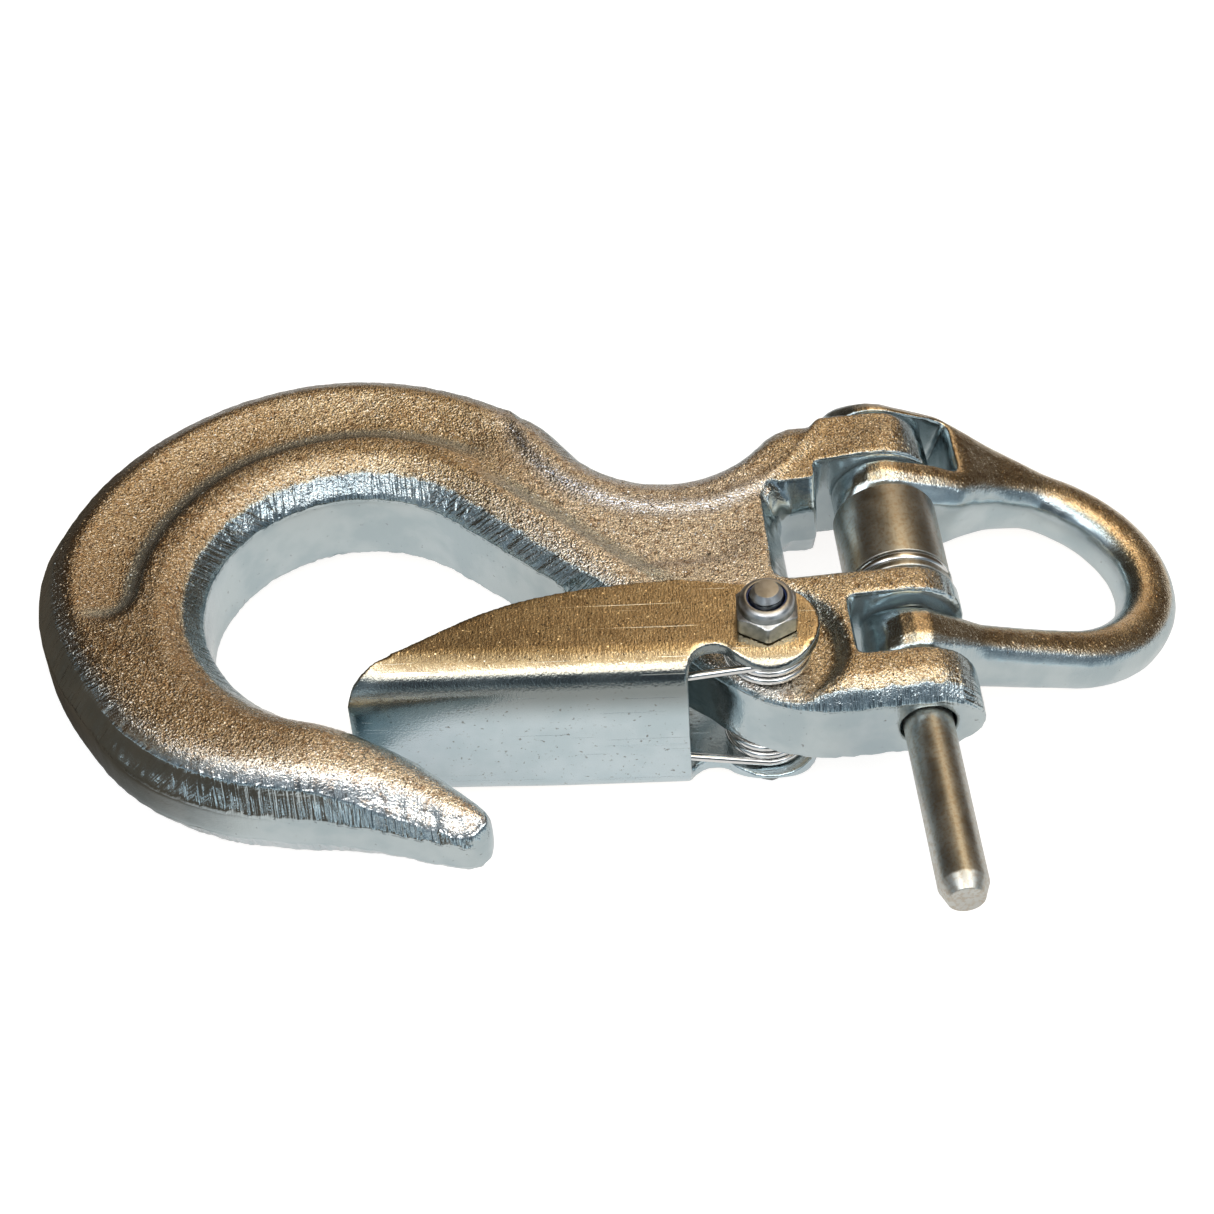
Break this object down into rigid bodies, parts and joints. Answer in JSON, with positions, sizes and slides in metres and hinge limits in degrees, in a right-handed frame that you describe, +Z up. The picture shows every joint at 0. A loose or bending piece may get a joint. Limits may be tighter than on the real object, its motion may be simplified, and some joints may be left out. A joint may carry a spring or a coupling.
{
  "type": "latched forged slip hook with coupling half link",
  "caption": "Forged lifting hook with a folded, spring-closed latch on a bolt, and a half link coupled to its prongs by a load pin and a centre bush.",
  "frame": {"origin": "middle of the bounding box at ground level, with the hook lying on its side", "axes": "+X along the hook from its bowl to the link eye, +Y from the tip and latch side to the bowl's back, +Z up"},
  "size_m": [0.2254, 0.141, 0.0499],
  "materials": {
    "forged_zinc": "zinc plated over a shot-blasted forging",
    "sheet_zinc": "zinc plated folded sheet",
    "turned_zinc": "satin zinc on a turned bar",
    "polished_wire": "bright drawn wire",
    "dull_steel": "dull stainless steel",
    "blue_nylon": "dark blue nylon"
  },
  "bodies": {
    "hook": {"hook_body": "forged_zinc", "latch_bolt": "dull_steel", "lock_nut": "dull_steel", "nylon_insert": "blue_nylon"},
    "latch": {"latch": "sheet_zinc", "latch_spring": "polished_wire"},
    "link": {"coupling_link": "forged_zinc"},
    "pin": {"load_pin": "turned_zinc"},
    "bush": {"centre_bush": "turned_zinc", "bush_lock_ring": "polished_wire"}
  },
  "joints": [
    {"name": "latch_swing", "type": "hinge", "parent": "hook", "child": "latch", "pos_m": [0.02581, -0.01575, 0.02288], "axis": [0.0466, -0.0666, -0.9967], "range_deg": [0, 34], "stiffness_Nm_per_rad": 0.25, "springref_deg": -45.84},
    {"name": "link_swing", "type": "hinge", "parent": "hook", "child": "link", "pos_m": [0.05432, 0.01223, 0.02235], "axis": [0.0016, 0.9978, -0.0666], "range_deg": [-118, 80]},
    {"name": "pin_slide", "type": "slide", "parent": "hook", "child": "pin", "axis": [0.0016, 0.9978, -0.0666], "range_m": [-0.03, 0.04]},
    {"name": "bush_spin", "type": "hinge", "parent": "hook", "child": "bush", "pos_m": [0.05432, 0.01223, 0.02235], "axis": [0.0016, 0.9978, -0.0666], "continuous": true}
  ]
}
